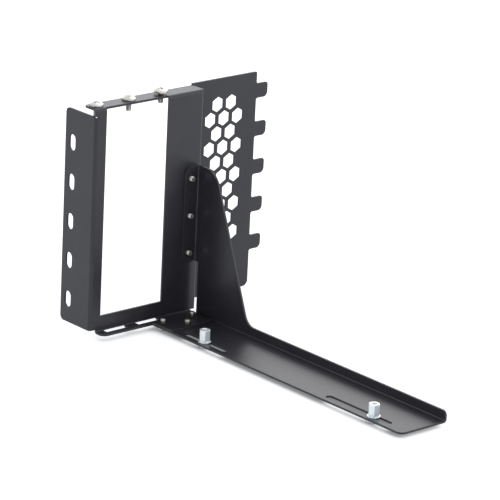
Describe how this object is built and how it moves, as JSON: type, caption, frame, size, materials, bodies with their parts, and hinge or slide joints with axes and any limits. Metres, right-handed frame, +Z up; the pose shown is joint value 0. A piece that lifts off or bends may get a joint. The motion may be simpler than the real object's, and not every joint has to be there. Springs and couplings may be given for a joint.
{
  "type": "vertical graphics card mount",
  "caption": "Folded steel bracket and tray that hold a graphics card upright beside the expansion slots of a computer case, with sliding standoffs for a riser board.",
  "frame": {"origin": "on the floor, under the middle of the bounding box", "axes": "+X along the slot face from the side flange toward the case tabs, +Y to the rear, away from the tray, +Z up"},
  "size_m": [0.12, 0.209, 0.1228],
  "materials": {
    "black_powder_coat": "satin black powder coat with a fine grain",
    "nickel_steel": "bright nickel-plated screw steel",
    "bright_zinc": "bright bluish zinc plate"
  },
  "bodies": {
    "mount_frame": {"slot_bracket": "black_powder_coat", "support_tray": "black_powder_coat", "card_screw_1": "nickel_steel", "card_screw_2": "nickel_steel", "card_screw_3": "nickel_steel", "gusset_screw_top": "nickel_steel", "gusset_screw_middle": "nickel_steel", "gusset_screw_bottom": "nickel_steel", "tray_screw_left": "nickel_steel", "tray_screw_right": "nickel_steel", "tray_screw_front": "nickel_steel"},
    "standoff_set_rear": {"standoff_rear": "bright_zinc", "standoff_washer_rear": "bright_zinc", "standoff_nut_rear": "bright_zinc"},
    "standoff_set_front": {"standoff_front": "bright_zinc", "standoff_washer_front": "bright_zinc", "standoff_nut_front": "bright_zinc"}
  },
  "joints": [
    {"name": "standoff_rear_slide", "type": "slide", "parent": "mount_frame", "child": "standoff_set_rear", "axis": [0, 1, 0], "range_m": [-0.0146, 0.0123]},
    {"name": "standoff_front_slide", "type": "slide", "parent": "mount_frame", "child": "standoff_set_front", "axis": [0, 1, 0], "range_m": [-0.0099, 0.0305]}
  ]
}
